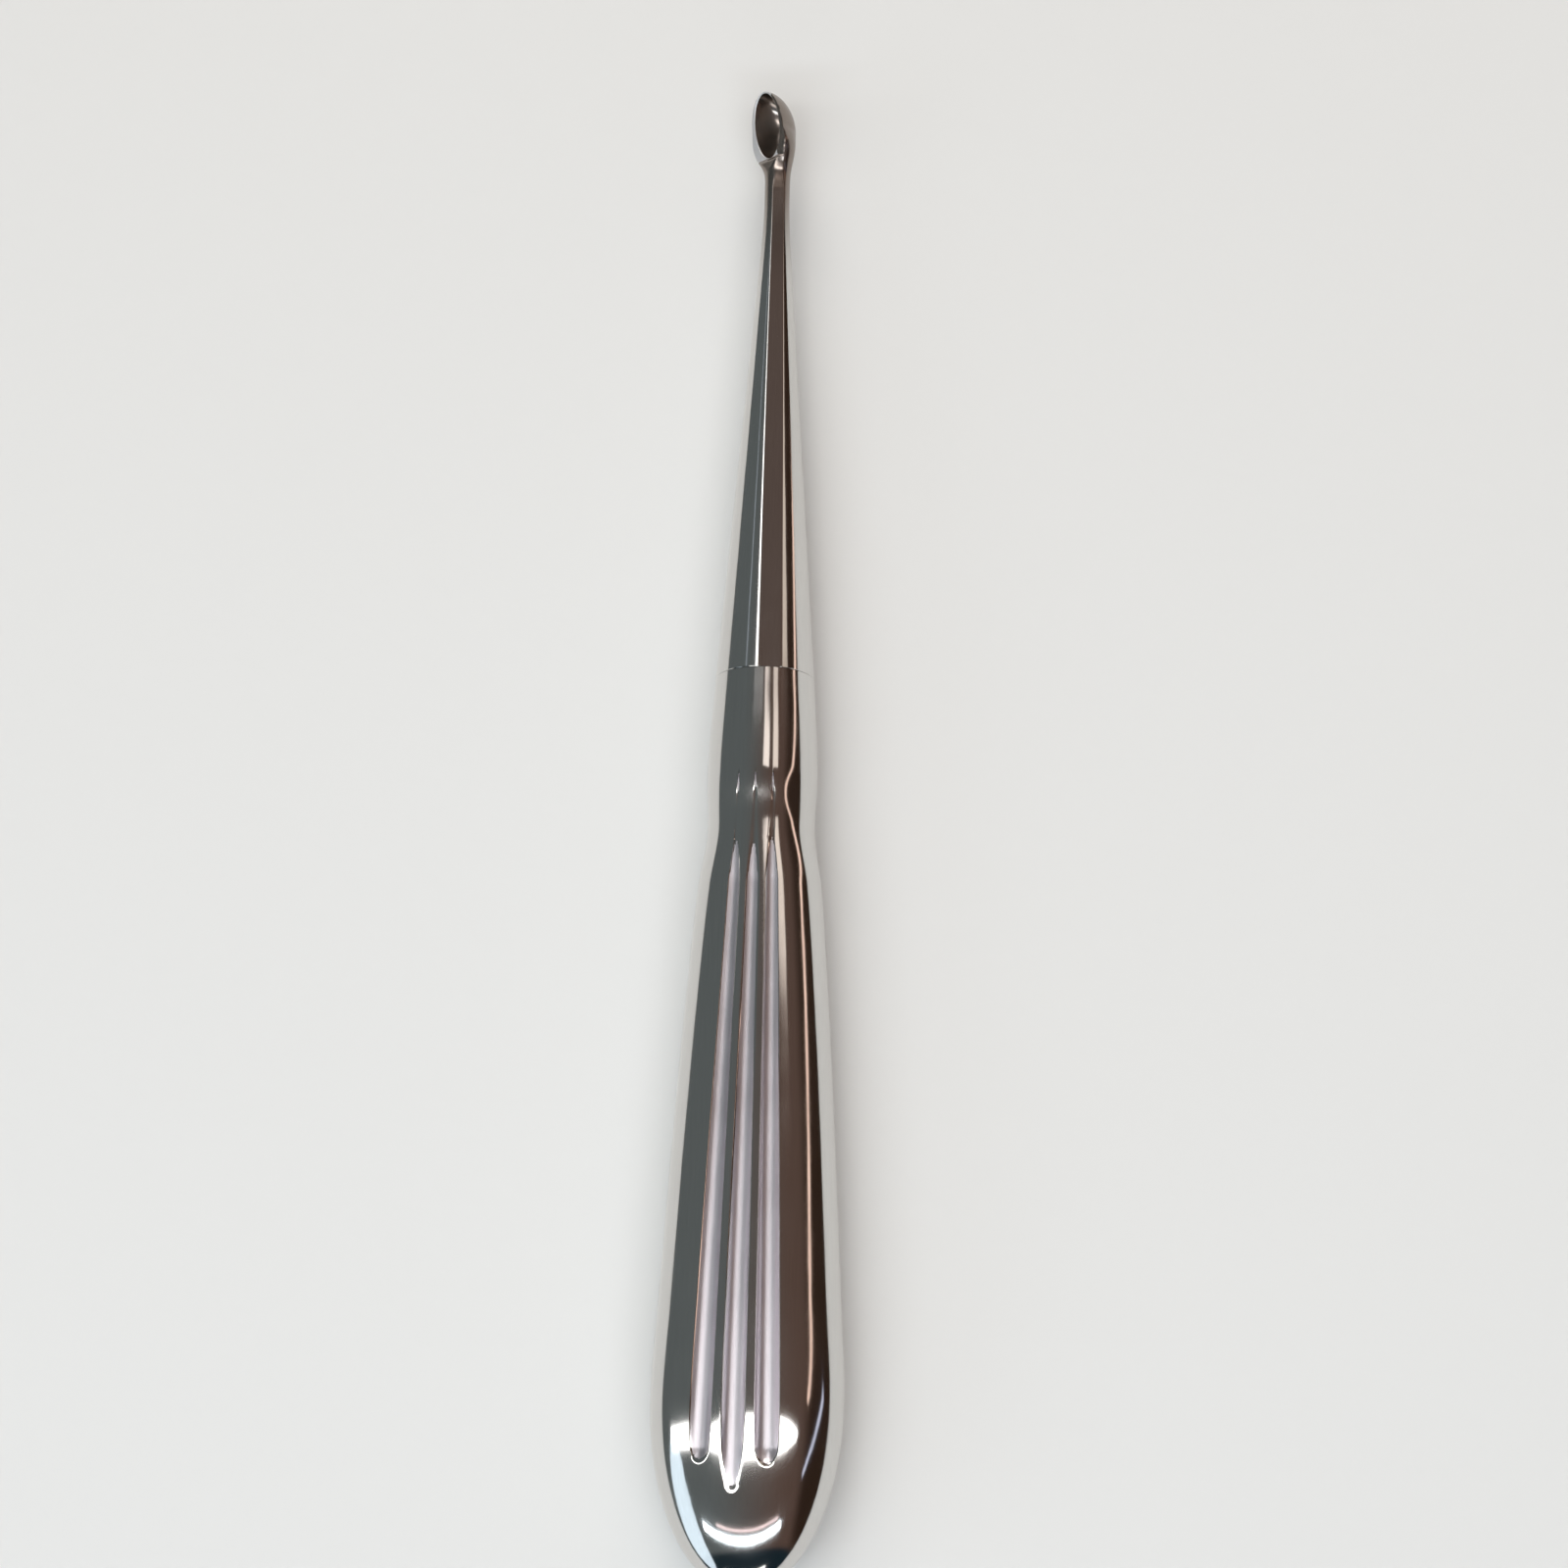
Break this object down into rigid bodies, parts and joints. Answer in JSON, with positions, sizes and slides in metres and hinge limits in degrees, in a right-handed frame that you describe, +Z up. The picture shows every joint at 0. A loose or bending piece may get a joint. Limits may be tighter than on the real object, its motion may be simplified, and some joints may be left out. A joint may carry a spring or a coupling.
{
  "type": "mastoid curette",
  "caption": "Slender steel bone curette: flattened hollow handle with long flutes, a waist and swelling neck, tapering shank and a small turned scoop.",
  "frame": {"origin": "on the table under the middle of the instrument's box, the instrument lying on its back face", "axes": "+Y along the instrument, from the butt of the handle to the tip of the scoop; +Z up from the table, out of the upper fluted face; +X to the right of that face with the scoop pointing away"},
  "size_m": [0.0208, 0.17, 0.0124],
  "materials": {
    "polished_steel": "mirror polished stainless steel with fine polishing lines"
  },
  "bodies": {
    "root": {"shank_and_cup": "polished_steel", "handle": "polished_steel"}
  },
  "joints": []
}
